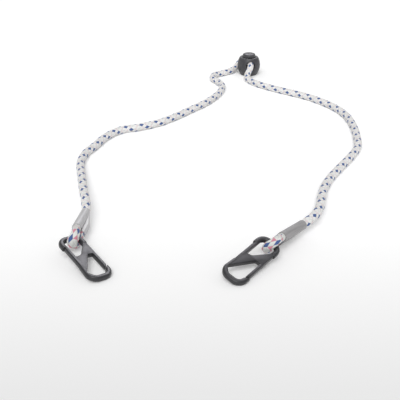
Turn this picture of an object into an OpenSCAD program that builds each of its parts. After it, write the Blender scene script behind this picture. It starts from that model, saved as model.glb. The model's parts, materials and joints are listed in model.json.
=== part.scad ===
// Eyewear retainer strap: a braided cord with a hook clip on a sleeved loop at each end
// and a spring lock threaded on the cord between them.
// Millimetres, +Z up. The strap lies on z = 0, with its clips towards -Y and the lock towards +Y.

/* [Cord] */
// Diameter of the braided cord
cord_d = 4; // [3.6:0.1:4]
// Diameter of the cord where it turns tight round a clip
bight_d = 3.4; // [3.2:0.1:3.5]
// Diameter of a strand where a sleeve squeezes it
strand_d = 3.3; // [3.1:0.1:3.4]

/* [Clips] */
// Length of a clip from the back of its eye to the front of its hook
clip_l = 28; // [27:0.5:30]
// Width of a clip over its round bars
clip_w = 10.8; // [10.6:0.1:11.2]
// Diameter of the round bars that form the eye and the hook
clip_bar_d = 2.3; // [2:0.1:2.4]
// Radius of the bars' corners, along the middle of the bar
clip_corner_r = 3.2; // [3:0.1:3.3]
// Thickness of the flat spine and web
clip_plate_t = 2; // [1.7:0.1:2.1]
// Width of the flat middle of a clip
clip_plate_w = 9.6; // [9.4:0.1:9.8]
// Width of the flat spine
spine_w = 1.5; // [1.3:0.1:1.7]
// Width of the gate finger
gate_w = 1.2; // [1.1:0.1:1.5]
// Room between the gate's round root and its seat
gate_root_gap = 0.12; // [0.1:0.01:0.2]
// Room between the gate's tip and the hook's tip
gate_tip_gap = 0.4; // [0.3:0.05:0.6]

/* [Sleeves] */
// Length of a heat-shrink sleeve
sleeve_l = 15.5; // [14:0.5:16]
// Wall thickness of a sleeve
sleeve_wall = 0.3; // [0.25:0.05:0.4]
// Room between a sleeve's wall and the strands
sleeve_room = 0.08; // [0.05:0.01:0.1]
// Share of the sleeve's length that the cord's tail reaches into it
tail_share = 0.5; // [0.4:0.05:0.6]

/* [Lock] */
// Largest radius of the lock's barrel-shaped body
lock_r = 7.7; // [7.6:0.1:7.9]
// Radius of the cross hole that the cord passes through
hole_r = 2.7; // [2.6:0.05:2.8]
// Radius of the button
button_r = 4.3; // [4.2:0.05:4.4]
// Running clearance between the button and its well
button_clearance = 0.1; // [0.05:0.01:0.1]
// How far the button can be pressed
button_travel = 2; // [1.6:0.1:2]
// Wire diameter of the lock's spring
spring_wire_d = 0.45; // [0.4:0.05:0.5]
// Turns of the lock's spring
spring_turns = 3; // [2.5:0.5:3]

/* [Layout] */
// Middle of the left clip, seen from above
left_clip_pos = [-38, -123.6];
// Roll, pitch and heading of the left clip
left_clip_turn = [-6, 9.8, -52.7];
// Middle of the right clip, seen from above
right_clip_pos = [24.9, -126];
// Roll, pitch and heading of the right clip
right_clip_turn = [-20, 7.6, -130.2];
// Middle of the lock, seen from above
lock_pos = [39.1, 126.3];
// Heading of the lock's cross hole, turned from -Y
lock_turn = 7; // [0:1:10]

/* [Hidden] */
$fn = 48;
cut = 0.5;

// Clip outline, in the clip's own frame: +X towards the hook, +Y towards the gate, middle plane at z = 0
bar_r = clip_bar_d / 2;
bar_x = clip_l / 2 - bar_r;
bar_y = clip_w / 2 - bar_r;
corner_x = bar_x - clip_corner_r;
corner_y = bar_y - clip_corner_r;
plate_y = clip_plate_w / 2;
eye_leg_x = -7.6;
hook_leg_x = 4.6;
spine_inner_y = -plate_y + spine_w;
gate_inner_y = plate_y - gate_w;
gate_root = [0.2, plate_y - gate_w / 2];
gate_tip_x = 7.2;
tip_slant = 40;

// Flat middle of the clip: spine, diagonal web and the stub that carries the gate
web_mouth_front = [corner_x - 0.25, -bar_y - 0.05];
web_mouth_rear = [-0.75, 1.65];
web_eye_front = [-1.3, -1];
web_eye_rear = [-8, gate_inner_y];
plate_outline = [
    [eye_leg_x - cut, -plate_y], [web_mouth_front[0], -plate_y], web_mouth_front, web_mouth_rear,
    [gate_root[0] - 0.6, gate_inner_y], [gate_root[0], gate_inner_y], [gate_root[0], plate_y],
    [eye_leg_x - cut, plate_y], web_eye_rear, web_eye_front,
    [web_eye_front[0] + 0.6, spine_inner_y], [eye_leg_x - cut, spine_inner_y]];

// Room cut from the hook's inner side, so that the mouth's straight edge runs into its corner
mouth_corner = [
    [hook_leg_x, -bar_y + bar_r + 0.1], [corner_x, -bar_y - 0.05], [corner_x + 0.8, -bar_y + 0.7],
    [corner_x + 1.2, -bar_y + 1.55], [corner_x, -corner_y]];

// Clip placement: the hook's lowest corner touches the table
function turn_x(v, a) = [v[0], v[1] * cos(a) - v[2] * sin(a), v[1] * sin(a) + v[2] * cos(a)];
function turn_y(v, a) = [v[0] * cos(a) + v[2] * sin(a), v[1], v[2] * cos(a) - v[0] * sin(a)];
function turn_z(v, a) = [v[0] * cos(a) - v[1] * sin(a), v[0] * sin(a) + v[1] * cos(a), v[2]];
function turned(v, turn) = turn_z(turn_y(turn_x(v, turn[0]), turn[1]), turn[2]);
function slope(turn) = [sin(turn[1]), abs(cos(turn[1]) * sin(turn[0]))];
function clip_lift(turn) =
    bar_r + slope(turn) * [corner_x, corner_y] + clip_corner_r * norm(slope(turn));
function clip_origin(pos, turn) = [pos[0], pos[1], clip_lift(turn)];
function on_clip(v, pos, turn) = clip_origin(pos, turn) + turned(v, turn);

// Where each cord loop bears on its clip, the left one just round the eye's corner and the right one mid-bar,
// and which way the loop leads out of the eye
left_bear = 22;
left_lead = 30;
left_bar_point = on_clip(
    [-corner_x - clip_corner_r * cos(left_bear), corner_y + clip_corner_r * sin(left_bear), 0],
    left_clip_pos, left_clip_turn);
left_out = [-cos(left_lead), sin(left_lead), 0];
right_out = [-1, 0, 0];
right_bar_point = on_clip([-bar_x, 0.4, 0], right_clip_pos, right_clip_turn);
echo(left_bar_point = left_bar_point, right_bar_point = right_bar_point);

// Sleeves: middle of the standing strand at the loop end, a point it heads for, and the tail beside it
function sleeve_ends(from, to) = [from, from + sleeve_l * (to - from) / norm(to - from)];
left_sleeve_ends = sleeve_ends([-43.4, -106.2, 6.8], [-42, -90.9, 5.9]);
right_sleeve_ends = sleeve_ends([37.6, -112.5, 6.3], [47.2, -100.4, 5.1]);
left_tail_offset = [1.6, 0, -2.8];
right_tail_offset = [-1.7, 1.2, -2.6];

// Loops: two strands round the clip's bar, joined by a half turn inside the eye. The lower strand lies on the
// table, and the rise leads from the bar to the upper one, which leans on the right as the clip does
cord_r = cord_d / 2;
bight_r = bight_d / 2;
strand_r = strand_d / 2;
loop_room = 0.4;
loop_r = bar_r + loop_room + bight_r;
left_rise = [0, 0, loop_r];
right_rise = [1.7, -1.4, 2.45];
bight_steps = 6;

// Free runs of the cord from sleeve to lock, and the stretch through the lock, chosen by hand
left_run = [
    [-43.7, -79.8, 6], [-46.2, -68.8, 5.5], [-48.8, -56.2, 4.5], [-51.6, -41.8, 3], [-53.4, -31.2, 2.2],
    [-52.9, -20.2, 2], [-48.9, -8.2, 2], [-44.9, 3.8, 2], [-37.9, 13.8, 2], [-27.4, 18.5, 2],
    [-17.4, 25.3, 2], [-8.4, 35.3, 2], [-0.4, 46.3, 2], [7.6, 57.3, 2], [13.2, 67.3, 2],
    [16.9, 76.1, 2], [19.6, 86.8, 2],
    [19.9, 94.8, 2], [17.4, 101.8, 2], [14.6, 107.3, 2], [14.2, 112.8, 2], [16.5, 117.8, 2]];
lock_run = [
    [22.7, 122.6, 2], [27.2, 126.4, 2.4], [29.9, 129.9, 3], [31.8, 133, 4.4], [34.2, 135.8, 6.4],
    [36.9, 136.5, 7.8], [38.3, 133.2, 8], [39.9, 120, 8], [39.7, 117, 7.5], [38.7, 114, 5.8],
    [37.4, 111.8, 3.8], [37.2, 109, 2.3]];
right_run = [
    [38.8, 104.4, 2], [43.1, 97.3, 2], [51.1, 89, 2], [60.6, 81, 2], [70.6, 72.5, 2], [79.6, 61.8, 2],
    [86.6, 49.3, 2], [90.4, 35.8, 2], [91.2, 20.8, 2], [90.2, 5.8, 2], [87.6, -10.2, 2], [81.6, -23.2, 2],
    [74.1, -36.2, 2], [67, -49.2, 2.1], [62.2, -61.2, 2.8], [59.4, -72.2, 3.6], [56.8, -83.2, 4.2],
    [52.8, -92.7, 4.7]];

// Lock, in its own frame: button up along +Z, cord along -Y, widest level near the origin
lock_base_z = -7;
lock_rim_z = 5;
barrel_r = 10.5;
barrel_z = -0.5;
well_floor_z = -6.2;
well_r = button_r + button_clearance;
cord_z = 1;
grip_room = 0.2;
hole_z = cord_z + cord_r + grip_room - hole_r;
slot_low_z = cord_z - cord_r - grip_room + hole_r;
slot_high_z = hole_z + button_travel;
button_top_z = 7.4;
button_foot_z = -2.6;
lug = [0.7, 1.6, 1.2];
lug_z = button_foot_z + lug[2];
lug_room = 0.3;
groove = [2 * (well_r + lug[0]), lug[1] + 2 * lug_room, lug[2] + button_travel + 2 * lug_room];
spring_r = 2.6;

// Sweep of a round tube along a list of points, with a radius at each point
cord_sides = 10;
function unit(v) = v / norm(v);
function heading(p, i) = unit(p[min(i + 1, len(p) - 1)] - p[max(i - 1, 0)]);
function carried(n, t) = unit(n - t * (n * t));
function normals(p, n, i = 0) =
    i == len(p) ? [] : let (m = carried(n, heading(p, i))) concat([m], normals(p, m, i + 1));
function ring(c, t, m, r, sides) =
    [for (k = [0 : sides - 1]) c + r * (m * cos(360 * k / sides) + cross(t, m) * sin(360 * k / sides))];
function rings(p, r, m, sides) = [for (i = [0 : len(p) - 1]) ring(p[i], heading(p, i), m[i], r[i], sides)];

module tube(ring_list, sides) {
    last = len(ring_list) - 1;
    start_cap = [for (k = [0 : sides - 1]) k];
    end_cap = [for (k = [sides - 1 : -1 : 0]) last * sides + k];
    wall = [for (i = [0 : last - 1], k = [0 : sides - 1], half = [0, 1])
        let (a = i * sides + k, b = i * sides + (k + 1) % sides)
        half == 0 ? [a, a + sides, b + sides] : [a, b + sides, b]];
    polyhedron([for (r = ring_list) each r], concat([start_cap, end_cap], wall));
}

// Points of one loop, from the tail's tip in the sleeve, round the clip's bar, to the sleeve's cord end
function loop_points(bar, out, ends, tail, rise) =
    let (along = unit(ends[1] - ends[0]),
         away = unit([out[0], out[1], 0]),
         fall = [rise[0], rise[1], bar[2] - bight_r],
         tail_l = tail_share * sleeve_l)
    concat(
        [for (s = [1, 0.85, 0.4, 0]) ends[0] + tail + along * tail_l * s],
        [for (k = [0 : bight_steps])
            let (a = -90 - 180 * k / bight_steps)
            bar + loop_r * away * cos(a) + (sin(a) > 0 ? rise : fall) * sin(a)],
        [ends[0], (ends[0] + ends[1]) / 2, ends[1]]);
loop_radii = concat(
    [strand_r * 0.6, strand_r, strand_r, strand_r],
    [for (k = [0 : bight_steps]) bight_r],
    [strand_r, strand_r, strand_r]);

// The whole cord, end to end, so that neighbouring stretches share their end rings
left_loop_points = loop_points(
    left_bar_point, turned(left_out, left_clip_turn), left_sleeve_ends, left_tail_offset, left_rise);
right_loop_points = loop_points(
    right_bar_point, turned(right_out, right_clip_turn), right_sleeve_ends, right_tail_offset, right_rise);
function backwards(list) = [for (i = [len(list) - 1 : -1 : 0]) list[i]];
cord_points = concat(left_loop_points, left_run, lock_run, right_run, backwards(right_loop_points));
cord_radii = concat(
    loop_radii,
    [for (p = concat(left_run, lock_run, right_run)) cord_r],
    backwards(loop_radii));
cord_rings = rings(cord_points, cord_radii, normals(cord_points, [1, 0, 0]), cord_sides);
left_run_start = len(left_loop_points) - 1;
lock_start = left_run_start + len(left_run);
lock_end = lock_start + len(lock_run) + 1;
right_run_end = lock_end + len(right_run);

function path_length(p) = len(p) < 2 ? 0 : norm(p[1] - p[0]) + path_length([for (i = [1 : len(p) - 1]) p[i]]);
function stretch(list, from, to) = [for (i = [from : to]) list[i]];
echo(left_run_mm = path_length(stretch(cord_points, left_run_start, lock_start)));
echo(right_run_mm = path_length(stretch(cord_points, lock_end, right_run_end)));
echo(whole_cord_mm = path_length(cord_points));

// Round bars of a clip

module bar_corner(x_side, y_side) {
    translate([x_side * corner_x, y_side * corner_y, 0])
        mirror([x_side < 0 ? 1 : 0, 0, 0])
            mirror([0, y_side < 0 ? 1 : 0, 0])
                rotate_extrude(angle = 90)
                    translate([clip_corner_r, 0])
                        circle(bar_r);
}

module bar_leg(from_x, to_x, y) {
    translate([min(from_x, to_x), y, 0])
        rotate([0, 90, 0])
            cylinder(r = bar_r, h = abs(to_x - from_x));
}

module bar_end(x_side) {
    translate([x_side * bar_x, -corner_y, 0])
        rotate([-90, 0, 0])
            cylinder(r = bar_r, h = 2 * corner_y);
    bar_corner(x_side, -1);
    bar_corner(x_side, 1);
}

// Half space beyond the slanted line where the gate meets the hook's tip
module beyond_tip(gap) {
    translate([gate_tip_x + gap / cos(tip_slant), clip_w / 2, 0])
        rotate([0, 0, tip_slant - 90])
            translate([-clip_l, 0, -clip_w])
                cube([2 * clip_l, clip_l, 2 * clip_w]);
}

module clip_frame() {
    // Eye
    bar_end(-1);
    bar_leg(-corner_x, eye_leg_x, -bar_y);
    bar_leg(-corner_x, eye_leg_x, bar_y);
    // Hook
    difference() {
        union() {
            bar_end(1);
            bar_leg(hook_leg_x, corner_x, -bar_y);
        }
        translate([0, 0, -clip_bar_d])
            linear_extrude(2 * clip_bar_d)
                polygon(mouth_corner);
    }
    intersection() {
        bar_leg(gate_tip_x, corner_x, bar_y);
        beyond_tip(gate_tip_gap);
    }
    // Spine, web and gate stub
    difference() {
        translate([0, 0, -clip_plate_t / 2])
            linear_extrude(clip_plate_t)
                polygon(plate_outline);
        translate([gate_root[0], gate_root[1], -clip_plate_t])
            cylinder(r = gate_w / 2 + gate_root_gap, h = 2 * clip_plate_t);
    }
}

module clip_gate() {
    translate([gate_root[0], gate_root[1], -clip_plate_t / 2])
        cylinder(r = gate_w / 2, h = clip_plate_t);
    difference() {
        translate([gate_root[0], gate_inner_y, -clip_plate_t / 2])
            cube([corner_x - gate_root[0], gate_w, clip_plate_t]);
        beyond_tip(0);
    }
}

module placed(pos, turn) {
    translate(clip_origin(pos, turn))
        rotate(turn)
            children();
}

module left_clip() {
    color([0.22, 0.22, 0.24])
        placed(left_clip_pos, left_clip_turn)
            clip_frame();
}

module left_gate() {
    color([0.2, 0.2, 0.22])
        placed(left_clip_pos, left_clip_turn)
            clip_gate();
}

module right_clip() {
    color([0.22, 0.22, 0.24])
        placed(right_clip_pos, right_clip_turn)
            clip_frame();
}

module right_gate() {
    color([0.2, 0.2, 0.22])
        placed(right_clip_pos, right_clip_turn)
            clip_gate();
}

// Heat-shrink sleeve over the standing strand and the tail beside it

module sleeve_skin(ends, tail, r, over) {
    along = unit(ends[1] - ends[0]);
    pitch = acos(along[2]);
    yaw = atan2(along[1], along[0]);
    waist = tail_share * sleeve_l;
    module disc(p) {
        translate(p)
            rotate([0, pitch, yaw])
                cylinder(r = r, h = 0.01, $fn = 32);
    }
    hull() {
        disc(ends[0] - along * over);
        disc(ends[0] + tail - along * over);
        disc(ends[0] + along * waist);
        disc(ends[0] + tail + along * waist);
        disc(ends[1] + along * over);
    }
}

module sleeve(ends, tail) {
    bore_r = strand_r + sleeve_room;
    difference() {
        sleeve_skin(ends, tail, bore_r + sleeve_wall, 0);
        sleeve_skin(ends, tail, bore_r, cut);
    }
}

module left_sleeve() {
    color([0.7, 0.7, 0.71])
        sleeve(left_sleeve_ends, left_tail_offset);
}

module right_sleeve() {
    color([0.62, 0.62, 0.63])
        sleeve(right_sleeve_ends, right_tail_offset);
}

// Cord

module cord_stretch(from, to) {
    color([0.84, 0.84, 0.85])
        tube(stretch(cord_rings, from, to), cord_sides);
}

module left_cord_loop() {
    cord_stretch(0, left_run_start);
}

module left_cord_run() {
    cord_stretch(left_run_start, lock_start);
}

module lock_cord() {
    cord_stretch(lock_start, lock_end);
}

module right_cord_run() {
    cord_stretch(lock_end, right_run_end);
}

module right_cord_loop() {
    cord_stretch(right_run_end, len(cord_points) - 1);
}

// Lock

module in_lock() {
    translate([lock_pos[0], lock_pos[1], -lock_base_z])
        rotate([0, 0, lock_turn])
            children();
}

module across_lock(r, z) {
    translate([0, 2 * lock_r, z])
        rotate([90, 0, 0])
            cylinder(r = r, h = 4 * lock_r);
}

module lock_body() {
    color([0.2, 0.2, 0.21])
        in_lock()
            difference() {
                rotate_extrude()
                    intersection() {
                        translate([lock_r - barrel_r, barrel_z])
                            circle(barrel_r, $fn = 96);
                        translate([0, lock_base_z])
                            square([lock_r, lock_rim_z - lock_base_z]);
                    }
                translate([0, 0, well_floor_z])
                    cylinder(r = well_r, h = 2 * lock_r);
                across_lock(hole_r, hole_z);
                // Grooves for the button's lugs
                translate([-groove[0] / 2, -groove[1] / 2, lug_z - groove[2] + lug_room])
                    cube(groove);
            }
}

module lock_button() {
    color([0.26, 0.26, 0.27])
        in_lock()
            difference() {
                union() {
                    translate([0, 0, button_foot_z])
                        cylinder(r = button_r, h = button_top_z - button_foot_z);
                    translate([-button_r - lug[0] + lug_room, -lug[1] / 2, lug_z - lug[2]])
                        cube([2 * (button_r + lug[0] - lug_room), lug[1], lug[2]]);
                }
                across_lock(hole_r, slot_low_z);
                across_lock(hole_r, slot_high_z);
                translate([-hole_r, -2 * lock_r, slot_low_z])
                    cube([2 * hole_r, 4 * lock_r, slot_high_z - slot_low_z]);
            }
}

module lock_spring() {
    rings_per_turn = 12;
    wire_sides = 6;
    low_z = well_floor_z + spring_wire_d / 2 + 0.05;
    high_z = button_foot_z - spring_wire_d / 2 - 0.05;
    steps = spring_turns * rings_per_turn;
    points = [for (i = [0 : steps])
        [spring_r * cos(360 * i / rings_per_turn), spring_r * sin(360 * i / rings_per_turn),
         low_z + (high_z - low_z) * i / steps]];
    coil_gap = (high_z - low_z) / spring_turns - spring_wire_d;
    echo(spring_gap_mm = coil_gap);
    color([0.75, 0.75, 0.77])
        in_lock()
            tube(rings(points, [for (p = points) spring_wire_d / 2], normals(points, [0, 0, 1]), wire_sides),
                 wire_sides);
}

left_clip();
left_gate();
right_clip();
right_gate();
left_sleeve();
right_sleeve();
left_cord_loop();
left_cord_run();
lock_cord();
right_cord_run();
right_cord_loop();
lock_body();
lock_button();
lock_spring();
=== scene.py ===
"""Looks of an eyewear retainer strap.

Braided cord, hook clips, heat-shrink sleeves and a push-button lock.
"""
import json
import math

import bmesh
import bpy
import numpy as np
from mathutils import Euler, Matrix, Vector


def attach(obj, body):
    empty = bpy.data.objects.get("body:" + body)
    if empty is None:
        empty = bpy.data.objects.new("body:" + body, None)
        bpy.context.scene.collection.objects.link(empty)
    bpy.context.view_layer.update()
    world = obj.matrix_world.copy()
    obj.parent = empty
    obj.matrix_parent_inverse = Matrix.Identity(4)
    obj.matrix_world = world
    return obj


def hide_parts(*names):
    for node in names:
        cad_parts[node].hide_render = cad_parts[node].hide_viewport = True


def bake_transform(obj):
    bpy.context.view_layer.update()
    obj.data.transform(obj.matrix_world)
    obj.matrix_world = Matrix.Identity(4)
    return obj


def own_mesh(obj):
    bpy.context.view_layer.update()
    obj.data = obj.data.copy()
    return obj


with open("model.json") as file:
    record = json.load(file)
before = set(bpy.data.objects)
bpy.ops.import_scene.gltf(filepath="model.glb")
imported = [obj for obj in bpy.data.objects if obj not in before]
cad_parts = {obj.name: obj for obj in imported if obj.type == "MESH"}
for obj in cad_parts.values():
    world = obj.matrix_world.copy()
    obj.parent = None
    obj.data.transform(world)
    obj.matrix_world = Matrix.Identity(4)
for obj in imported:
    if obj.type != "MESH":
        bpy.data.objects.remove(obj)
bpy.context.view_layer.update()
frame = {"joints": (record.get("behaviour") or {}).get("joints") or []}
joints = {joint["name"]: joint for joint in frame["joints"]}
MM = 0.001

# Camera: lens and sensor in millimetres, place in metres and tilt in degrees
LENS = 64.6
SENSOR = 36
CAMERA_AT = (0.0056, -0.3562, 0.145)
CAMERA_TILT = 63.3

# Cord route, in metres, as in the part's source
LEFT_RUN = [
    (-0.0437, -0.0798, 0.006), (-0.0462, -0.0688, 0.0055), (-0.0488, -0.0562, 0.0045),
    (-0.0516, -0.0418, 0.003), (-0.0534, -0.0312, 0.0022), (-0.0529, -0.0202, 0.002),
    (-0.0489, -0.0082, 0.002), (-0.0449, 0.0038, 0.002), (-0.0379, 0.0138, 0.002),
    (-0.0274, 0.0185, 0.002), (-0.0174, 0.0253, 0.002), (-0.0084, 0.0353, 0.002),
    (-0.0004, 0.0463, 0.002), (0.0076, 0.0573, 0.002), (0.0132, 0.0673, 0.002),
    (0.0169, 0.0761, 0.002), (0.0196, 0.0868, 0.002), (0.0199, 0.0948, 0.002),
    (0.0174, 0.1018, 0.002), (0.0146, 0.1073, 0.002), (0.0142, 0.1128, 0.002),
    (0.0165, 0.1178, 0.002)]
LOCK_RUN = [
    (0.0227, 0.1226, 0.002), (0.0272, 0.1264, 0.0024), (0.0299, 0.1299, 0.003),
    (0.0318, 0.133, 0.0044), (0.0342, 0.1358, 0.0064), (0.0369, 0.1365, 0.0078),
    (0.0383, 0.1332, 0.008), (0.0399, 0.12, 0.008), (0.0397, 0.117, 0.0075),
    (0.0387, 0.114, 0.0058), (0.0374, 0.1118, 0.0038), (0.0372, 0.109, 0.0023)]
RIGHT_RUN = [
    (0.0388, 0.1044, 0.002), (0.0431, 0.0973, 0.002), (0.0511, 0.089, 0.002),
    (0.0606, 0.081, 0.002), (0.0706, 0.0725, 0.002), (0.0796, 0.0618, 0.002),
    (0.0866, 0.0493, 0.002), (0.0904, 0.0358, 0.002), (0.0912, 0.0208, 0.002),
    (0.0902, 0.0058, 0.002), (0.0876, -0.0102, 0.002), (0.0816, -0.0232, 0.002),
    (0.0741, -0.0362, 0.002), (0.067, -0.0492, 0.0021), (0.0622, -0.0612, 0.0028),
    (0.0594, -0.0722, 0.0036), (0.0568, -0.0832, 0.0042), (0.0528, -0.0927, 0.0047)]

# Cord sizes, the length over which it swells again past a sleeve, and its line's steps between points
CORD_R = 0.002
BIGHT_R = 0.0017
STRAND_R = 0.00165
SWELL_L = 0.004
LINE_STEPS = 24

# Braid: strands each way round, every third of those one way a tracer, and the length of one turn. The sheath
# is turned a little, and slipped by a share of a turn, between the runs and the loops
STRANDS = 6
LAY = 0.018
BRAID_SIDES = 72
RINGS_PER_LAY = 72
RELIEF = 0.00018
SHIFT_AT = (0.0302, 0.0442, 0.5812, 0.5952)
SLIP = (-0.01, 0.051, 0.051, 0.197)
TWIST = (-0.047, 0, 0, -0.064)

# Braid colours, in turns along it: the cord's middle, how far from it the loops begin, and the middle and half
# length of the stretch that shows no tracer. Then the yarns in a strand, the share of the tracers' pink that is
# left along the runs, and the grey in the loops
CORD_MIDDLE = 17.46
LOOP_FROM = 15.8
BARE_AT = 15.65
BARE_HALF = 0.35
YARNS = 6
RUN_PINK = 0.25
LOOP_GREY = 0.35

# Width and thickness of the cord pressed round a clip's bar, as shares of its plain diameter
PRESSED = {"left": (1.32, 0.82), "right": (1.15, 0.86)}

# Sleeves: loop end and heading of the standing strand, the tail beside it, the loop's rise above the
# clip's bar, the way out of the clip's eye there, the loop's reach round the bar and its sway along it,
# from below to above. The film is creased between strand and tail, and slimmer round the tail
SLEEVE_L = 0.0155
TAIL_SHARE = 0.5
FILM_OUT = 0.00038
FILM_T = 0.0003
SLEEVES = {
    "left": {"from": (-0.0434, -0.1062, 0.0068), "to": (-0.042, -0.0909, 0.0059),
             "tail": (0.0016, 0, -0.0028), "rise": (0, 0, 0.00265), "out": (-0.866, 0.5, 0),
             "reach": 0.0026, "sway": (0.0008, 0.0002, -0.0003, -0.0004, 0.0001, 0.0007, 0.001),
             "crease": 1.35, "slim": 0.18},
    "right": {"from": (0.0376, -0.1125, 0.0063), "to": (0.0472, -0.1004, 0.0051),
              "tail": (-0.0017, 0.0012, -0.0026), "rise": (0.0015, -0.0012, 0.0021), "out": (-1, 0, 0),
              "reach": 0.0027, "sway": (0, 0, 0, 0, 0, 0, 0),
              "crease": 0.25, "slim": 0}}
# Shares round the film where the first flank, the tail's half round and the other flank end, and their
# lengths
FLANK_END = 0.15
TAIL_END = 0.5
OTHER_FLANK_END = 0.65
FLANK_SHARE = 0.15
ROUND_SHARE = 0.35
# Shares round the film of the painted shade along its fold and of the painted highlight on the ridge beside it,
# which end towards the cord
FOLD_SHADE_AT = 0.59
RIDGE_HIGHLIGHT_AT = 0.55
FOLD_SHADE_AND_HIGHLIGHT_END = (0.6, 0.85)

# Clips: middle, and roll, pitch and heading in degrees
CLIPS = {
    "left": {"at": (-0.038, -0.1236, 0.003537), "turn": (-6, 9.8, -52.7)},
    "right": {"at": (0.0249, -0.126, 0.003947), "turn": (-20, 7.6, -130.2)}}

# Lock: middle of the barrel and heading of its hole, in degrees
LOCK_AT = (0.0391, 0.1263, 0.007)
LOCK_TURN = 7


def make_camera():
    """Camera at the photograph's viewing angle."""
    data = bpy.data.cameras.new("camera")
    data.lens = LENS
    data.sensor_width = SENSOR
    data.clip_start = 0.01
    camera = bpy.data.objects.new("camera", data)
    camera.location = CAMERA_AT
    camera.rotation_euler = (math.radians(CAMERA_TILT), 0, 0)
    bpy.context.scene.collection.objects.link(camera)
    bpy.context.scene.camera = camera


def make_piece(bm, name, material, place=None, sharp_angle=40):
    """New object at the origin from a bmesh, with its place in its mesh and nothing of it below the table."""
    if place is not None:
        bmesh.ops.transform(bm, matrix=place, verts=bm.verts)
    for vert in bm.verts:
        vert.co.z = max(vert.co.z, 0)
    mesh = bpy.data.meshes.new(name)
    bm.to_mesh(mesh)
    bm.free()
    mesh.materials.append(material)
    mesh.set_sharp_from_angle(angle=math.radians(sharp_angle))
    piece = bpy.data.objects.new(name, mesh)
    bpy.context.scene.collection.objects.link(piece)
    return piece


# Materials

def new_material(name):
    material = bpy.data.materials.new(name)
    material.use_nodes = True
    return material, material.node_tree, material.node_tree.nodes["Principled BSDF"]


def add_node(tree, kind, inputs=None, **settings):
    made = tree.nodes.new(kind)
    for key, value in settings.items():
        setattr(made, key, value)
    for key, value in (inputs or {}).items():
        if isinstance(value, bpy.types.NodeSocket):
            tree.links.new(value, made.inputs[key])
        else:
            made.inputs[key].default_value = value
    return made


def calc(tree, operation, first, second=0.0, third=0.0):
    made = add_node(tree, "ShaderNodeMath", {0: first, 1: second, 2: third}, operation=operation)
    return made.outputs[0]


def mix_colour(tree, share, first, second):
    made = add_node(tree, "ShaderNodeMix", {0: share, 6: first, 7: second}, data_type="RGBA")
    return made.outputs[2]


def noise(tree, vector, scale, detail=3.0):
    made = add_node(tree, "ShaderNodeTexNoise", {"Vector": vector, "Scale": scale, "Detail": detail})
    return made.outputs["Fac"]


def remap(tree, value, low, high, to_low, to_high):
    made = add_node(tree, "ShaderNodeMapRange", {0: value, 1: low, 2: high, 3: to_low, 4: to_high})
    return made.outputs[0]


def moulded_plastic(name, dark, light, roughness):
    """Matt moulded plastic: a faint mottle, a fine spark-eroded grain and slightly uneven gloss."""
    material, tree, shader = new_material(name)
    place = add_node(tree, "ShaderNodeTexCoord").outputs["Object"]
    mottle = remap(tree, noise(tree, place, 500.0), 0.3, 0.7, 0.0, 1.0)
    fine = noise(tree, place, 5200.0, 2.0)
    tree.links.new(mix_colour(tree, mottle, (*dark, 1), (*light, 1)), shader.inputs["Base Color"])
    gloss = remap(tree, noise(tree, place, 1500.0), 0.3, 0.7, roughness - 0.02, roughness + 0.03)
    tree.links.new(gloss, shader.inputs["Roughness"])
    bump = add_node(tree, "ShaderNodeBump", {"Strength": 0.3, "Distance": 0.00003, "Height": fine})
    tree.links.new(bump.outputs[0], shader.inputs["Normal"])
    shader.inputs["Specular IOR Level"].default_value = 0.5
    return material


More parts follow.
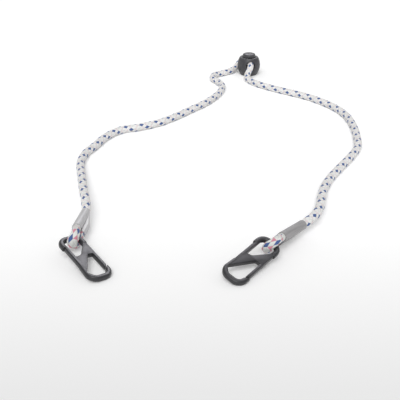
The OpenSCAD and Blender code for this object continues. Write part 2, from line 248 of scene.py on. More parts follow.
def braided_sheath():
    """Pale braid with tracer strands of blue yarn edged with pink, and painted shade in the crevices between
    the strands.
    UV runs round the cord and along it in turns."""
    material, tree, shader = new_material("braided_sheath")
    uv = add_node(tree, "ShaderNodeSeparateXYZ", {0: add_node(tree, "ShaderNodeUVMap").outputs[0]})
    around, along = uv.outputs[0], uv.outputs[1]
    first = calc(tree, "MULTIPLY", calc(tree, "ADD", around, along), STRANDS)
    second = calc(tree, "MULTIPLY", calc(tree, "SUBTRACT", around, along), STRANDS)
    strand = calc(tree, "FLOOR", second)
    over = calc(tree, "FLOORED_MODULO", calc(tree, "ADD", calc(tree, "FLOOR", first), strand), 2.0)
    under = calc(tree, "SUBTRACT", 1.0, over)
    across_first = calc(tree, "ABSOLUTE", calc(tree, "SUBTRACT", calc(tree, "FRACT", first), 0.5))
    across_second = calc(tree, "ABSOLUTE", calc(tree, "SUBTRACT", calc(tree, "FRACT", second), 0.5))
    across = calc(tree, "ADD", calc(tree, "MULTIPLY", across_first, under),
                  calc(tree, "MULTIPLY", across_second, over))
    to_end = calc(tree, "ADD", calc(tree, "MULTIPLY", across_second, under),
                  calc(tree, "MULTIPLY", across_first, over))
    # Fine yarns side by side in each strand
    yarn = calc(tree, "SINE", calc(tree, "MULTIPLY", across, 2 * math.pi * YARNS))
    place = add_node(tree, "ShaderNodeTexCoord").outputs["Object"]
    fuzz = noise(tree, place, 3500.0)
    shade = noise(tree, place, 260.0)
    edge = calc(tree, "MAXIMUM", across, calc(tree, "MULTIPLY", to_end, 0.96))
    # Painted shade: the colour darkens towards the crevices between the strands
    crevice_shade = remap(tree, edge, 0.4, 0.5, 0.0, 0.35)
    pale = mix_colour(tree, remap(tree, shade, 0.35, 0.65, 0.0, 1.0),
                      (0.78, 0.79, 0.77, 1), (0.88, 0.88, 0.87, 1))
    pale = mix_colour(tree, remap(tree, yarn, -1.0, 1.0, 0.0, 0.14), pale, (0.58, 0.59, 0.58, 1))
    # Every third strand is blue, its neighbours are pink at the ends next to it, and the pink fades along
    # the runs
    tracer = calc(tree, "FLOORED_MODULO", strand, 3.0)
    is_blue = calc(tree, "MULTIPLY", calc(tree, "LESS_THAN", tracer, 0.5), over)
    along_cell = calc(tree, "SUBTRACT", calc(tree, "FRACT", first), calc(tree, "FRACT", second))
    towards_blue = calc(tree, "MULTIPLY", along_cell, calc(tree, "MULTIPLY_ADD", tracer, -2.0, 3.0))
    from_middle = calc(tree, "ABSOLUTE", calc(tree, "SUBTRACT", along, CORD_MIDDLE))
    in_loop = calc(tree, "GREATER_THAN", from_middle, LOOP_FROM)
    # The tracers lie hidden just before the sleeves
    flecked = calc(tree, "SUBTRACT", 1.0, calc(tree, "COMPARE", from_middle, BARE_AT, BARE_HALF))
    is_blue = calc(tree, "MULTIPLY", is_blue, flecked)
    is_pink = calc(tree, "MULTIPLY", remap(tree, towards_blue, -0.05, 0.05, 0.0, 1.0), over)
    is_pink = calc(tree, "MULTIPLY", is_pink, flecked)
    is_pink = calc(tree, "MULTIPLY", is_pink, remap(tree, in_loop, 0.0, 1.0, RUN_PINK, 1.0))
    blue = mix_colour(tree, fuzz, (0.045, 0.085, 0.24, 1), (0.085, 0.15, 0.36, 1))
    pink = mix_colour(tree, fuzz, (0.55, 0.17, 0.22, 1), (0.7, 0.32, 0.42, 1))
    pale = mix_colour(tree, calc(tree, "MULTIPLY", in_loop, LOOP_GREY), pale, (0.55, 0.565, 0.53, 1))
    colour = mix_colour(tree, is_blue, mix_colour(tree, is_pink, pale, pink), blue)
    # Painted shade: the crevices between the strands are darkened
    colour = mix_colour(tree, crevice_shade, colour, (0.24, 0.24, 0.25, 1))
    tree.links.new(colour, shader.inputs["Base Color"])
    height = calc(tree, "ADD", calc(tree, "MULTIPLY", yarn, 0.5), fuzz)
    bump = add_node(tree, "ShaderNodeBump", {"Strength": 0.5, "Distance": 0.00005, "Height": height})
    tree.links.new(bump.outputs[0], shader.inputs["Normal"])
    shader.inputs["Roughness"].default_value = 0.85
    shader.inputs["Specular IOR Level"].default_value = 0.25
    shader.inputs["Sheen Weight"].default_value = 0.15
    return material


def shrink_film(name, dark, light, fold_shade_and_highlight):
    """Satin grey heat-shrink film, with faint streaks along it, a soft ripple, and painted shade along a fold
    down one flank with a painted highlight beside it.
    UV runs round it and along it."""
    material, tree, shader = new_material(name)
    uv = add_node(tree, "ShaderNodeUVMap").outputs[0]
    stretched = add_node(tree, "ShaderNodeVectorMath", {0: uv, 1: (24.0, 2.0, 1.0)}, operation="MULTIPLY")
    streak = noise(tree, stretched.outputs[0], 1.0)
    ripple = noise(tree, add_node(tree, "ShaderNodeTexCoord").outputs["Object"], 700.0)
    colour = mix_colour(tree, remap(tree, streak, 0.35, 0.65, 0.0, 1.0), (*dark, 1), (*light, 1))
    parts = add_node(tree, "ShaderNodeSeparateXYZ", {0: uv})
    around, along = parts.outputs[0], parts.outputs[1]
    # Painted shade as a dark line along the fold, and a painted highlight on the ridge beside it, both fading
    # out towards the cord
    fold_shade_and_highlight_fade = remap(tree, along, *FOLD_SHADE_AND_HIGHLIGHT_END, 1.0, 0.0)
    from_fold_shade = calc(tree, "ABSOLUTE", calc(tree, "SUBTRACT", around, FOLD_SHADE_AT))
    painted_fold_shade = calc(tree, "MULTIPLY", remap(tree, from_fold_shade, 0.006, 0.018, fold_shade_and_highlight, 0.0), fold_shade_and_highlight_fade)
    from_ridge_highlight = calc(tree, "ABSOLUTE", calc(tree, "SUBTRACT", around, RIDGE_HIGHLIGHT_AT))
    painted_ridge_highlight = calc(tree, "MULTIPLY", remap(tree, from_ridge_highlight, 0.015, 0.03, fold_shade_and_highlight, 0.0), fold_shade_and_highlight_fade)
    # Painted highlight: a pale band on the ridge beside the fold
    colour = mix_colour(tree, painted_ridge_highlight, colour, (0.92, 0.91, 0.92, 1))
    # Painted shade: the dark line along the fold
    tree.links.new(mix_colour(tree, painted_fold_shade, colour, (0.05, 0.05, 0.055, 1)), shader.inputs["Base Color"])
    tree.links.new(remap(tree, ripple, 0.3, 0.7, 0.32, 0.44), shader.inputs["Roughness"])
    bump = add_node(tree, "ShaderNodeBump", {"Strength": 0.3, "Distance": 0.00008, "Height": ripple})
    tree.links.new(bump.outputs[0], shader.inputs["Normal"])
    return material


def drawn_wire():
    """Bright drawn steel wire with fine die lines."""
    material, tree, shader = new_material("drawn_wire")
    place = add_node(tree, "ShaderNodeTexCoord").outputs["Object"]
    lines = noise(tree, place, 6000.0)
    tree.links.new(mix_colour(tree, lines, (0.5, 0.5, 0.52, 1), (0.68, 0.68, 0.69, 1)),
                   shader.inputs["Base Color"])
    tree.links.new(remap(tree, lines, 0.3, 0.7, 0.22, 0.38), shader.inputs["Roughness"])
    shader.inputs["Metallic"].default_value = 1.0
    return material


clip_plastic = moulded_plastic("clip_plastic", (0.023, 0.023, 0.026), (0.028, 0.028, 0.031), 0.36)
lock_plastic = moulded_plastic("lock_plastic", (0.045, 0.045, 0.051), (0.054, 0.054, 0.06), 0.42)
button_plastic = moulded_plastic("button_plastic", (0.05, 0.05, 0.056), (0.058, 0.058, 0.064), 0.4)
cord_braid = braided_sheath()
# Both sleeves are the same grey film. The right one is given a darker colour as painted shade, and only the
# left one carries the painted shade and highlight at its fold
left_film = shrink_film("left_film", (0.44, 0.435, 0.445), (0.56, 0.555, 0.565), 0.9)
right_film = shrink_film("right_film", (0.26, 0.254, 0.258), (0.333, 0.324, 0.329), 0.0)
spring_wire = drawn_wire()


# Cord

def sleeve_line(side):
    """Middle of the standing strand at the sleeve's loop end and at its cord end."""
    start = Vector(SLEEVES[side]["from"])
    heading = (Vector(SLEEVES[side]["to"]) - start).normalized()
    return start, start + heading * SLEEVE_L


def loop_route(side):
    """Points and radii of one loop.
    It goes from the tail's tip in the sleeve, round the clip's bar, to the sleeve's cord end."""
    start, end = sleeve_line(side)
    bar = Vector(joints[side + "_clip_swing"]["pos_m"])
    tail = Vector(SLEEVES[side]["tail"])
    rise = Vector(SLEEVES[side]["rise"])
    fall = Vector((rise.x, rise.y, SLEEVES[side]["reach"]))
    turn = Euler([math.radians(angle) for angle in CLIPS[side]["turn"]])
    away = Vector(SLEEVES[side]["out"])
    away.rotate(turn)
    away = Vector((away.x, away.y, 0)).normalized()
    across = Vector((away.y, -away.x, 0))
    along = (end - start).normalized()
    points = [start + tail + along * (TAIL_SHARE * SLEEVE_L * share) for share in (1, 0.85, 0.4, 0)]
    for step, sway in enumerate(SLEEVES[side]["sway"]):
        angle = math.radians(-90 - 30 * step)
        climb = rise if math.sin(angle) > 0 else fall
        points.append(bar + away * (SLEEVES[side]["reach"] * math.cos(angle)) + climb * math.sin(angle)
                      + across * sway)
    points += [start, (start + end) / 2, end]
    radii = [STRAND_R * 0.6] + [STRAND_R * 0.8] * 3 + [BIGHT_R] * 7 + [STRAND_R] * 3
    return points, radii


def spline(points, steps):
    """Close points on a smooth curve through the given ones, a fixed number of steps apart."""
    given = np.array([list(point) for point in points])
    padded = np.vstack([2 * given[0] - given[1], given, 2 * given[-1] - given[-2]])
    line = []
    for i in range(len(given) - 1):
        p0, p1, p2, p3 = padded[i:i + 4]
        t1 = math.sqrt(np.linalg.norm(p1 - p0))
        t2 = t1 + math.sqrt(np.linalg.norm(p2 - p1))
        t3 = t2 + math.sqrt(np.linalg.norm(p3 - p2))
        t = np.linspace(t1, t2, steps, endpoint=False)[:, None]
        a1 = ((t1 - t) * p0 + t * p1) / t1
        a2 = ((t2 - t) * p1 + (t - t1) * p2) / (t2 - t1)
        a3 = ((t3 - t) * p2 + (t - t2) * p3) / (t3 - t2)
        b1 = ((t2 - t) * a1 + t * a2) / t2
        b2 = ((t3 - t) * a2 + (t - t1) * a3) / (t3 - t1)
        line.append(((t2 - t) * b1 + (t - t1) * b2) / (t2 - t1))
    return np.vstack(line + [given[-1:]])


def carried_normals(line, first):
    """Normals along a line, turned no more than the line itself turns."""
    headings = np.gradient(line, axis=0)
    headings /= np.linalg.norm(headings, axis=1)[:, None]
    normals = np.empty_like(line)
    normal = np.array(first, float)
    for i, heading in enumerate(headings):
        normal = normal - heading * normal.dot(heading)
        normal /= np.linalg.norm(normal)
        normals[i] = normal
    return normals, np.cross(headings, normals)


left_points, left_radii = loop_route("left")
right_points, right_radii = loop_route("right")
cord_points = left_points + LEFT_RUN + LOCK_RUN + RIGHT_RUN + right_points[::-1]
cord_radii = left_radii + [CORD_R] * len(LEFT_RUN + LOCK_RUN + RIGHT_RUN) + right_radii[::-1]
cord_line = spline(cord_points, LINE_STEPS)
cord_s = np.concatenate([[0], np.cumsum(np.linalg.norm(np.diff(cord_line, axis=0), axis=1))])
cord_normals, cord_sides = carried_normals(cord_line, (1, 0, 0))
marks = cord_s[::LINE_STEPS]
left_run_start = marks[len(left_points) - 1]
lock_start = marks[len(left_points) - 1 + len(LEFT_RUN)]
lock_end = marks[len(left_points) + len(LEFT_RUN) + len(LOCK_RUN)]
right_run_end = marks[len(left_points) + len(LEFT_RUN + LOCK_RUN + RIGHT_RUN)]


def along_cord(s, values):
    return np.stack([np.interp(s, cord_s, values[:, k]) for k in range(3)], axis=1)


def cord_radius(s):
    """Radius of the cord, which swells again just past a sleeve."""
    radius = np.interp(s, marks, cord_radii)
    out = np.clip(np.minimum(s - left_run_start, right_run_end - s) / SWELL_L, 0, 1)
    swollen = STRAND_R + (CORD_R - STRAND_R) * out * out * (3 - 2 * out)
    return np.where(out > 0, swollen, radius)


def braid_place(around, s):
    """Where a point of the sheath lies in the braid: its share round it and its turns along it."""
    return around + np.interp(s, SHIFT_AT, TWIST), s / LAY + np.interp(s, SHIFT_AT, SLIP)


def press_flat(side, s, offsets):
    """Widens the cord along a clip's bar and thins it across, fading out at the sleeve."""
    wide, thin = PRESSED[side]
    bar = np.array(joints[side + "_clip_swing"]["axis"])
    stops = marks[[4, 6, 8, 10]] if side == "left" else marks[[-11, -9, -7, -5]]
    weight = np.interp(s, stops, (0, 1, 1, 0))[:, None]
    along_bar = (offsets @ bar)[:, None] * bar
    return offsets * (1 + (thin - 1) * weight) + along_bar * ((wide - thin) * weight)


def braid_height(around, turns):
    """Height of the crowned strands, 0 in the crevices and 1 on top."""
    first = STRANDS * (around + turns)
    second = STRANDS * (around - turns)
    on_top = (np.floor(first) + np.floor(second)) % 2 == 0
    across_first = np.cos(np.pi * (first % 1 - 0.5))
    across_second = np.cos(np.pi * (second % 1 - 0.5))
    over = np.where(on_top, across_first, across_second)
    length = np.where(on_top, across_second, across_first)
    return np.abs(over) ** 0.7 * np.abs(length) ** 0.4


def roll_grid(around_n, along_n, shape, uv_shape):
    """A grid rolled into an open tube: shape gives each point from its share around and along."""
    bm = bmesh.new()
    bm.loops.layers.uv.new("UVMap")
    bmesh.ops.create_grid(bm, x_segments=around_n, y_segments=along_n, size=0.5, calc_uvs=True)
    mesh = bpy.data.meshes.new("part")
    bm.to_mesh(mesh)
    bm.free()
    place = np.empty(len(mesh.vertices) * 3)
    mesh.vertices.foreach_get("co", place)
    place = place.reshape(-1, 3)
    around, along = np.round(place[:, 0] + 0.5, 6), np.round(place[:, 1] + 0.5, 6)
    corner = np.empty(len(mesh.loops), int)
    mesh.loops.foreach_get("vertex_index", corner)
    uv = uv_shape(around[corner], along[corner])
    mesh.uv_layers[0].data.foreach_set("uv", uv.ravel())
    mesh.vertices.foreach_set("co", shape(around, along).ravel())
    bm = bmesh.new()
    bm.from_mesh(mesh)
    bpy.data.meshes.remove(mesh)
    bmesh.ops.remove_doubles(bm, verts=bm.verts, dist=1e-6)
    return bm


def braided_tube(name, node, start, end):
    """One stretch of the cord, between two lengths along it."""
    def shape(around, along):
        s = start + along * (end - start)
        angle = 2 * np.pi * around
        radius = cord_radius(s) + RELIEF * (braid_height(*braid_place(around, s)) - 0.75)
        offsets = ((radius * np.cos(angle))[:, None] * along_cord(s, cord_normals)
                   + (radius * np.sin(angle))[:, None] * along_cord(s, cord_sides))
        points = along_cord(s, cord_line) + press_flat("right", s, press_flat("left", s, offsets))
        points[:, 2] = np.maximum(points[:, 2], 0)
        return points

    def uv_shape(around, along):
        return np.stack(braid_place(around, start + along * (end - start)), axis=1)

    rings = max(8, round((end - start) / LAY * RINGS_PER_LAY))
    bm = roll_grid(BRAID_SIDES, rings, shape, uv_shape)
    bmesh.ops.holes_fill(bm, edges=[edge for edge in bm.edges if edge.is_boundary])
    bmesh.ops.recalc_face_normals(bm, faces=bm.faces)
    piece = make_piece(bm, name, cord_braid, sharp_angle=80)
    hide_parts(node)
    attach(piece, "cord")
    return piece


make_camera()
braided_tube("left_loop_braid", "left_cord_loop", 0, left_run_start)
left_run = braided_tube("left_run_braid", "left_cord_run", left_run_start, lock_start)
braided_tube("lock_braid", "lock_cord", lock_start, lock_end)
right_run = braided_tube("right_run_braid", "right_cord_run", lock_end, right_run_end)
braided_tube("right_loop_braid", "right_cord_loop", right_run_end, cord_s[-1])


# Sleeves

def shrink_sleeve(side, film):
    """Film drawn in round the standing strand and the tail, creased between them and tapered onto the cord."""
    start, end = sleeve_line(side)
    along_axis = (end - start).normalized()
    tail = Vector(SLEEVES[side]["tail"])
    reach = tail - along_axis * tail.dot(along_axis)
    apart = reach.length
    reach.normalize()
    flank = along_axis.cross(reach)
    outer = STRAND_R + FILM_OUT
    crease = SLEEVES[side]["crease"]
    slim = SLEEVES[side]["slim"]

    def shape(around, along):
        spread = apart * np.clip((1 - along) / (1 - TAIL_SHARE), 0.03, 1)
        spread = np.where(along < TAIL_SHARE, apart, spread)
        # Flat flank, tail's half round, other flank and strand's half round
        parts = [around < FLANK_END, around < TAIL_END, around < OTHER_FLANK_END]
        none, whole = np.zeros_like(around), np.ones_like(around)
        turn = np.select(parts, [none, (around - FLANK_END) / ROUND_SHARE, whole],
                         (around - OTHER_FLANK_END) / ROUND_SHARE + 1)
        slide = np.select(parts, [around / FLANK_SHARE, whole, 1 - (around - TAIL_END) / FLANK_SHARE], none)
        angle = np.pi * turn
        in_flank = (around <= FLANK_END) | ((around >= TAIL_END) & (around <= OTHER_FLANK_END))
        inward = np.minimum(slide, 1 - slide) * spread
        sink = np.where(in_flank, crease * (outer - np.sqrt(outer ** 2 - inward ** 2)), 0)
        radius = outer * (1 - slim * slide) - sink * np.clip(along * 6, 0.35, 1)
        middle = np.array(start)[None] + (along * SLEEVE_L)[:, None] * np.array(along_axis)[None]
        return (middle + (slide * spread + radius * np.sin(angle))[:, None] * np.array(reach)[None]
                + (radius * np.cos(angle))[:, None] * np.array(flank)[None])

    def uv_shape(around, along):
        return np.stack([around, along], axis=1)

    bm = roll_grid(80, 40, shape, uv_shape)
    bmesh.ops.recalc_face_normals(bm, faces=bm.faces)
    bmesh.ops.solidify(bm, geom=bm.faces[:], thickness=FILM_T)
    bmesh.ops.recalc_face_normals(bm, faces=bm.faces)
    piece = make_piece(bm, side + "_film", film, sharp_angle=50)
    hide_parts(side + "_sleeve")
    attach(piece, "cord")


shrink_sleeve("left", left_film)
shrink_sleeve("right", right_film)


# Sharp edges of moulded pieces, in degrees
MOULDED_ANGLE = 38

# Clips, in millimetres in the clip's own frame: +X towards the hook, +Y towards the gate
BAR_R = 1.15
BAR_X = 12.85
BAR_Y = 4.25
CORNER_R = 3.2
CORNER_X = BAR_X - CORNER_R
CORNER_Y = BAR_Y - CORNER_R
PLATE_T = 2
GATE_ROOT_X = -0.4
GATE_LOW_Y = 3.6
GATE_HIGH_Y = 4.8
GATE_END_X = 10
# The gate's slanted tip, and the hook's face across the gap from it
TIP_AT = (7.2, 5.4, 0)
TIP_NORMAL = (math.sin(math.radians(50)), math.cos(math.radians(50)), 0)
TIP_GAP = 0.4
HOOK_FACE_AT = (TIP_AT[0] + TIP_GAP / math.cos(math.radians(40)), TIP_AT[1], 0)
# Where the legs of the bars end
EYE_LEG_X = -7.6
HOOK_LEG_X = 4.6
HOOK_END_X = 6.0
# Bars: power that squares their section, its width, and the taper and lift of the hook's leg in the spine
BAR_POWER = 2.8
BAR_WIDTH = 0.94
LEG_TAPER = 0.92
LEG_LIFT = 0.2
RAIL_Y = 4.35
PLATE_OUTLINE = [
    (-8.1, -RAIL_Y), (9.4, -RAIL_Y), (-0.75, 1.65), (GATE_ROOT_X, GATE_LOW_Y), (GATE_ROOT_X, GATE_HIGH_Y),
    (-8.1, GATE_HIGH_Y), (-8, 3.6), (-1.3, -1), (-0.7, -3.3), (-8.1, -3.3)]
# Radius of its rounded corners, by their place in the outline
ROUNDED = {2: 0.7, 7: 0.8, 8: 0.8}
# Least radius of the hook's inner side about its corner next to the spine, by degrees from the leg
MOUTH_CORNER = ((0, 35), (3.25, CORNER_R - BAR_R))
LEDGE = (15, 0.8, 1.2)
LEDGE_AT = (-0.6, -4.4, 0)
# Eased edges
PLATE_EASE = 0.18
LEDGE_EASE = 0.12
BAR_EASE = 0.3
GATE_EASE = 0.22
# Cuts across the gate's finger, and the step between them
BEND_CUTS = 12
BEND_STEP = 0.5


def clip_place(side):
    turn = Euler([math.radians(angle) for angle in CLIPS[side]["turn"]])
    return Matrix.Translation(CLIPS[side]["at"]) @ turn.to_matrix().to_4x4() @ Matrix.Scale(MM, 4)


def edges_of(geometry):
    return [item for item in geometry if isinstance(item, bmesh.types.BMEdge)]


def all_of(bm):
    return bm.verts[:] + bm.edges[:] + bm.faces[:]


def ease(bm, edges, width, segments, clamp=True):
    """Rounds edges over."""
    bmesh.ops.bevel(bm, geom=edges, offset=width, offset_type="OFFSET", segments=segments, profile=0.5,
                    affect="EDGES", clamp_overlap=clamp, material=-1)


def push_ring(bm, ring, step):
    """Extrudes a ring of edges along a step, and gives the new ring."""
    made = bmesh.ops.extrude_edge_only(bm, edges=ring)["geom"]
    moved = {item for item in made if isinstance(item, bmesh.types.BMVert)}
    bmesh.ops.translate(bm, vec=step, verts=list(moved))
    return [edge for edge in edges_of(made) if moved.issuperset(edge.verts)]


def turn_ring(bm, ring, centre, angle):
    """Spins a ring of edges round an upright axis, and gives the last ring."""
    verts = list({vert for edge in ring for vert in edge.verts})
    made = bmesh.ops.spin(bm, geom=verts + ring, cent=centre, axis=(0, 0, 1), dvec=(0, 0, 0),
                          angle=angle, steps=10)
    return edges_of(made["geom_last"])


def bent_bar(bm, x_side, near_x, far_x):
    """Round bar of the eye or the hook, swept from one circle: leg, corner, end, corner and leg."""
    place = Matrix.Translation((near_x, -BAR_Y, 0)) @ Matrix.Rotation(math.pi / 2, 4, "Y")
    verts = bmesh.ops.create_circle(bm, cap_ends=True, radius=BAR_R, segments=32, matrix=place)["verts"]
    # Flattened flanks
    for vert in verts:
        y, z = vert.co.y + BAR_Y, vert.co.z
        swell = BAR_R / (abs(y) ** BAR_POWER + abs(z) ** BAR_POWER) ** (1 / BAR_POWER)
        vert.co.y, vert.co.z = y * swell * BAR_WIDTH - BAR_Y, z * swell
    first = list({edge for vert in verts for edge in vert.link_edges})
    quarter = math.pi / 2 * x_side
    ring = push_ring(bm, first, (x_side * CORNER_X - near_x, 0, 0))
    ring = turn_ring(bm, ring, (x_side * CORNER_X, -CORNER_Y, 0), quarter)
    ring = push_ring(bm, ring, (0, 2 * CORNER_Y, 0))
    ring = turn_ring(bm, ring, (x_side * CORNER_X, CORNER_Y, 0), quarter)
    ring = push_ring(bm, ring, (far_x - x_side * CORNER_X, 0, 0))
    bmesh.ops.edgeloop_fill(bm, edges=ring)
    return first, ring


def add_plate(bm):
    """Flat spine, diagonal web and gate stub, from their outline, with rounded corners and eased edges."""
    outline = [bm.verts.new((x, y, -PLATE_T / 2)) for x, y in PLATE_OUTLINE]
    bm.faces.new(outline)
    for index, offset in ROUNDED.items():
        bmesh.ops.bevel(bm, geom=[outline[index]], offset=offset, offset_type="OFFSET", segments=4,
                        profile=0.5, affect="VERTICES", material=-1)
    lifted = bmesh.ops.extrude_face_region(bm, geom=bm.faces[:])["geom"]
    bmesh.ops.translate(bm, vec=(0, 0, PLATE_T),
                        verts=[item for item in lifted if isinstance(item, bmesh.types.BMVert)])
    bmesh.ops.recalc_face_normals(bm, faces=bm.faces)
    rim = [edge for edge in bm.edges if abs(edge.verts[0].co.z - edge.verts[1].co.z) < 0.01
           and not all(abs(vert.co.x - GATE_ROOT_X) < 0.01 and vert.co.y > 3 for vert in edge.verts)]
    ease(bm, rim, PLATE_EASE, 2)


def spine_ledge():
    """Lower ledge along the outer side of a clip's spine."""
    bm = bmesh.new()
    bmesh.ops.create_cube(bm, size=1, matrix=Matrix.Translation(LEDGE_AT) @ Matrix.Diagonal((*LEDGE, 1)))
    ease(bm, bm.edges[:], LEDGE_EASE, 2)
    return bm


def join(bm, other):
    """Adds one bmesh to another."""
    mesh = bpy.data.meshes.new("part")
    other.to_mesh(mesh)
    other.free()
    bm.from_mesh(mesh)
    bpy.data.meshes.remove(mesh)


def hook_clip(side):
    """One moulding: the eye's bar, the hook's bar and the flat middle."""
    bm = bmesh.new()
    add_plate(bm)
    eye = bmesh.new()
    near, far = bent_bar(eye, -1, EYE_LEG_X, EYE_LEG_X)
    bmesh.ops.recalc_face_normals(eye, faces=eye.faces)
    ease(eye, near + far, BAR_EASE, 3, clamp=False)
    join(bm, eye)
    hook = bmesh.new()
    near = bent_bar(hook, 1, HOOK_LEG_X, HOOK_END_X)[0]
    # The hook's leg grows out of the spine
    for vert in {vert for edge in near for vert in edge.verts}:
        vert.co.y = (vert.co.y + BAR_Y) * LEG_TAPER - BAR_Y + LEG_LIFT
        vert.co.z *= LEG_TAPER
    # The mouth's straight edge runs into the hook's corner
    for vert in hook.verts:
        out = Vector((vert.co.x - CORNER_X, vert.co.y + CORNER_Y))
        turned = math.degrees(math.atan2(out.x, -out.y))
        if -1 < turned < MOUTH_CORNER[0][1]:
            out *= max(1, np.interp(turned, *MOUTH_CORNER) / out.length)
            vert.co.x, vert.co.y = CORNER_X + out.x, out.y - CORNER_Y
    # The hook's end is cut to the slanted face beside the gate's tip
    bmesh.ops.bisect_plane(hook, geom=[item for item in all_of(hook) if item not in near],
                           plane_co=HOOK_FACE_AT, plane_no=TIP_NORMAL)
    behind = [vert for vert in hook.verts if vert.co.y > 2
              and (vert.co - Vector(HOOK_FACE_AT)).dot(Vector(TIP_NORMAL)) < -1e-4]
    bmesh.ops.delete(hook, geom=behind, context="VERTS")
    open_rim = [edge for edge in hook.edges if edge.is_boundary]
    bmesh.ops.edgeloop_fill(hook, edges=open_rim)
    bmesh.ops.recalc_face_normals(hook, faces=hook.faces)
    ease(hook, near + open_rim, BAR_EASE, 3, clamp=False)
    join(bm, hook)
    join(bm, spine_ledge())
    piece = make_piece(bm, side + "_hook_clip", clip_plastic, clip_place(side), MOULDED_ANGLE)
    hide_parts(side + "_clip")
    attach(piece, side + "_clip")


def gate_finger(side):
    """Springy finger that closes the hook's mouth, moulded in one with the web, with cuts across it from its
    root.
    """
    bm = bmesh.new()
    middle = Vector(((GATE_ROOT_X + GATE_END_X) / 2, (GATE_LOW_Y + GATE_HIGH_Y) / 2, 0))
    size = (GATE_END_X - GATE_ROOT_X, GATE_HIGH_Y - GATE_LOW_Y, PLATE_T, 1)
    bmesh.ops.create_cube(bm, size=1, matrix=Matrix.Translation(middle) @ Matrix.Diagonal(size))
    bmesh.ops.bisect_plane(bm, geom=all_of(bm), plane_co=TIP_AT, plane_no=TIP_NORMAL, clear_outer=True)
    bmesh.ops.holes_fill(bm, edges=[edge for edge in bm.edges if edge.is_boundary])
    bmesh.ops.recalc_face_normals(bm, faces=bm.faces)
    free = [edge for edge in bm.edges
            if not all(abs(vert.co.x - GATE_ROOT_X) < 0.01 for vert in edge.verts)]
    ease(bm, free, GATE_EASE, 2)
    for step in range(1, BEND_CUTS + 1):
        bmesh.ops.bisect_plane(bm, geom=all_of(bm), plane_co=(GATE_ROOT_X + BEND_STEP * step, 0, 0),
                               plane_no=(1, 0, 0))
    place = clip_place(side)
    piece = make_piece(bm, side + "_gate_finger", clip_plastic, place, MOULDED_ANGLE)
    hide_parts(side + "_gate")
    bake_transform(piece)


for side in ("left", "right"):
    hook_clip(side)
    gate_finger(side)


# Lock, in millimetres in its own frame: button up, cord along -Y
WELL_R = 4.4
HOLE_R = 2.7
BUTTON_R = 4.3
# Heights: base, well's floor, button's foot, the barrel's rim and the button's top
BASE_Z = -7
FLOOR_Z = -6.2
FOOT_Z = -2.6
RIM_Z = 5
TOP_Z = 7.4
# The barrel's side is an arc between two heights
SIDE_Z = (-6.3, 4.5)
ARC_R = 10.5
ARC_IN = 2.8
WIDEST_Z = -0.5
# The cord's hole in the barrel, and the button's slot with the length it adds upwards
HOLE_Z = 0.5
SLOT_Z = 1.5
SLOT_L = 1.3
# Spring: radius of the coil and of the wire, the wire's distance from the well's floor and the button's foot,
# its turns and the steps they are swept in
COIL_R = 2.6
WIRE_R = 0.225
COIL_IN = 0.275
COIL_TURNS = 3
COIL_STEPS = 96
lock_place = (Matrix.Translation(LOCK_AT) @ Matrix.Rotation(math.radians(LOCK_TURN), 4, "Z")
              @ Matrix.Scale(MM, 4))


def barrel_r(z):
    return math.sqrt(ARC_R ** 2 - (z - WIDEST_Z) ** 2) - ARC_IN


def lathe(profile):
    """Solid of revolution about Z from radius and height pairs."""
    bm = bmesh.new()
    verts = [bm.verts.new((r, 0, z)) for r, z in profile]
    edges = [bm.edges.new(pair) for pair in zip(verts, verts[1:])]
    bmesh.ops.spin(bm, geom=verts + edges, cent=(0, 0, 0), axis=(0, 0, 1), dvec=(0, 0, 0),
                   angle=2 * math.pi, steps=72, use_merge=True)
    bmesh.ops.remove_doubles(bm, verts=bm.verts, dist=0.0005)
    bmesh.ops.recalc_face_normals(bm, faces=bm.faces)
    return bm


def cut_with(piece, cutter):
    """Cuts one piece with another, which goes."""
    modifier = piece.modifiers.new("cut", "BOOLEAN")
    modifier.operation = "DIFFERENCE"
    modifier.solver = "EXACT"
    modifier.object = cutter
    mesh = bpy.data.meshes.new_from_object(piece.evaluated_get(bpy.context.evaluated_depsgraph_get()))
    piece.modifiers.clear()
    piece.data = mesh
    mesh.set_sharp_from_angle(angle=math.radians(MOULDED_ANGLE))
    bpy.data.objects.remove(cutter)


def lock_shell():
    """Barrel with an eased rim and base, a well for the button and a flared cross hole for the cord."""
    base_r, rim_r = barrel_r(SIDE_Z[0]), barrel_r(SIDE_Z[1])
    profile = [(0, BASE_Z), (base_r - 0.7, BASE_Z), (base_r - 0.32, -6.92), (base_r - 0.08, -6.68)]
    profile += [(barrel_r(z), z) for z in np.linspace(*SIDE_Z, 18)]
    profile += [(rim_r - 0.12, 4.76), (rim_r - 0.3, 4.93), (rim_r - 0.55, RIM_Z), (WELL_R + 0.3, RIM_Z),
                (WELL_R + 0.1, 4.92), (WELL_R, 4.75), (WELL_R, FLOOR_Z), (0, FLOOR_Z)]
    piece = make_piece(lathe(profile), "lock_shell", lock_plastic, lock_place)
    # Half of the hole, from the middle outwards to its flared mouth
    half = [(HOLE_R, 0), (HOLE_R, 5.6), (HOLE_R + 0.08, 6.3), (HOLE_R + 0.3, 6.9), (HOLE_R + 0.75, 7.5),
            (HOLE_R + 1.6, 8.2), (0, 8.2)]
    cutter = lathe([(r, -y) for r, y in half[:0:-1]] + half)
    bmesh.ops.rotate(cutter, verts=cutter.verts, cent=(0, 0, 0),
                     matrix=Matrix.Rotation(math.pi / 2, 3, "X"))
    bmesh.ops.translate(cutter, vec=(0, 0, HOLE_Z), verts=cutter.verts)
    cut_with(piece, make_piece(cutter, "cutter", lock_plastic, lock_place))
    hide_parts("lock_body")
    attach(piece, "lock")


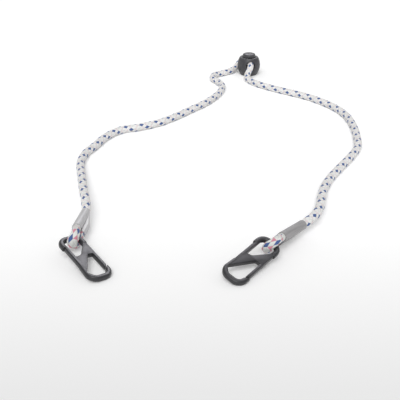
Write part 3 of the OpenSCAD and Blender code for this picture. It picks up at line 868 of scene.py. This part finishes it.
def push_button():
    """Plunger with a rounded, faintly domed top and a slot that lets the cord through."""
    profile = [(0, TOP_Z), (2.1, 7.36), (3.2, 7.27), (3.75, 7.1), (4.1, 6.8), (4.26, 6.4), (BUTTON_R, 5.9),
               (BUTTON_R, -2.3), (BUTTON_R - 0.3, FOOT_Z), (0, FOOT_Z)]
    piece = make_piece(lathe(profile), "push_button", button_plastic, lock_place)
    cutter = bmesh.new()
    bmesh.ops.create_cone(cutter, cap_ends=True, segments=48, radius1=HOLE_R, radius2=HOLE_R, depth=20,
                          matrix=Matrix.Translation((0, 0, SLOT_Z)) @ Matrix.Rotation(math.pi / 2, 4, "X"))
    upper = [vert for vert in cutter.verts if vert.co.z > SLOT_Z + 0.1]
    bmesh.ops.translate(cutter, vec=(0, 0, SLOT_L), verts=upper)
    cut_with(piece, make_piece(cutter, "cutter", button_plastic, lock_place))
    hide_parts("lock_button")
    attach(piece, "lock_button")


def coil_spring():
    """Wire wound in three turns under the button."""
    low, high = FLOOR_Z + COIL_IN, FOOT_Z - COIL_IN
    bm = bmesh.new()
    start = Matrix.Translation((COIL_R, 0, low)) @ Matrix.Rotation(math.pi / 2, 4, "X")
    ring = bmesh.ops.create_circle(bm, cap_ends=True, radius=WIRE_R, segments=12, matrix=start)
    edges = list({edge for vert in ring["verts"] for edge in vert.link_edges})
    made = bmesh.ops.spin(bm, geom=ring["verts"] + edges, cent=(0, 0, 0), axis=(0, 0, 1),
                          dvec=(0, 0, (high - low) / COIL_STEPS), angle=2 * math.pi * COIL_TURNS,
                          steps=COIL_STEPS)
    bmesh.ops.edgeloop_fill(bm, edges=edges_of(made["geom_last"]))
    bmesh.ops.recalc_face_normals(bm, faces=bm.faces)
    piece = make_piece(bm, "coil_spring", spring_wire, lock_place)
    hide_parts("lock_spring")
    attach(piece, "lock")
    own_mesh(piece)


lock_shell()
push_button()
coil_spring()


# Floor and light

# Between these places along Y the floor's colour darkens towards the camera as painted shade, and its lift to
# white fades out
PAINTED_SHADE_Y = (-0.1, -0.2)
LIFT_Y = (-0.07, -0.1925)
LIFT = 0.13
# Lamps shine from their place towards the origin
ROOM = 0.5
SUN_AT = (-0.1, -0.7, 0.85)
SUN = 1.82
SUN_SPREAD = 40
CARDS = (("back_card", (0.06, 0.94, 0.85), 5.6), ("top_card", (0.38, 0.42, 0.95), 2.4))
CARD_TINT = (0.95, 0.93, 1)
CARD_SIZE = 0.55


def seen_ray(tree):
    """1 for what is seen directly, in gloss or through a clear surface, and 0 for light on other surfaces."""
    path = add_node(tree, "ShaderNodeLightPath").outputs
    return calc(tree, "MAXIMUM", path["Is Camera Ray"],
                calc(tree, "MAXIMUM", path["Is Glossy Ray"], path["Is Transmission Ray"]))


def make_floor():
    """Pale floor with painted shade that makes it a little darker in front, and lifted to white behind where it
    is seen.
    """
    material, tree, shader = new_material("pale_floor")
    place = add_node(tree, "ShaderNodeTexCoord").outputs["Object"]
    away = add_node(tree, "ShaderNodeSeparateXYZ", {0: place}).outputs[1]
    # Painted shade: the floor's colour darkens towards the camera
    painted_floor_shade = remap(tree, away, *PAINTED_SHADE_Y, 0.0, 1.0)
    tree.links.new(mix_colour(tree, painted_floor_shade, (0.97, 0.97, 0.97, 1), (0.86, 0.86, 0.86, 1)),
                   shader.inputs["Base Color"])
    lift = remap(tree, away, *LIFT_Y, LIFT, 0.0)
    tree.links.new(calc(tree, "MULTIPLY", lift, seen_ray(tree)), shader.inputs["Emission Strength"])
    shader.inputs["Emission Color"].default_value = (1, 1, 1, 1)
    shader.inputs["Roughness"].default_value = 0.9
    shader.inputs["Specular IOR Level"].default_value = 0.0
    bm = bmesh.new()
    bmesh.ops.create_grid(bm, x_segments=4, y_segments=4, size=4)
    make_piece(bm, "floor", material)


def add_lamp(name, kind, place, energy):
    data = bpy.data.lights.new(name, kind)
    data.energy = energy
    lamp = bpy.data.objects.new(name, data)
    lamp.location = place
    lamp.rotation_euler = Vector(place).to_track_quat("Z", "Y").to_euler()
    bpy.context.scene.collection.objects.link(lamp)
    return lamp


def make_light():
    """Even room light, a wide soft light from above in front, and bright cards behind for the gloss alone."""
    world = bpy.data.worlds.new("studio")
    bpy.context.scene.world = world
    world.use_nodes = True
    tree = world.node_tree
    tree.nodes["Background"].inputs[0].default_value = (1, 1, 1, 1)
    direct = add_node(tree, "ShaderNodeLightPath").outputs["Is Camera Ray"]
    tree.links.new(remap(tree, direct, 0.0, 1.0, ROOM, 1.0), tree.nodes["Background"].inputs[1])
    front = add_lamp("front", "SUN", SUN_AT, SUN)
    front.data.angle = math.radians(SUN_SPREAD)
    for name, place, energy in CARDS:
        card = add_lamp(name, "AREA", place, energy)
        card.data.color = CARD_TINT
        card.data.size = CARD_SIZE
        card.visible_diffuse = False


make_floor()
make_light()
bpy.context.scene.view_settings.view_transform = "Standard"
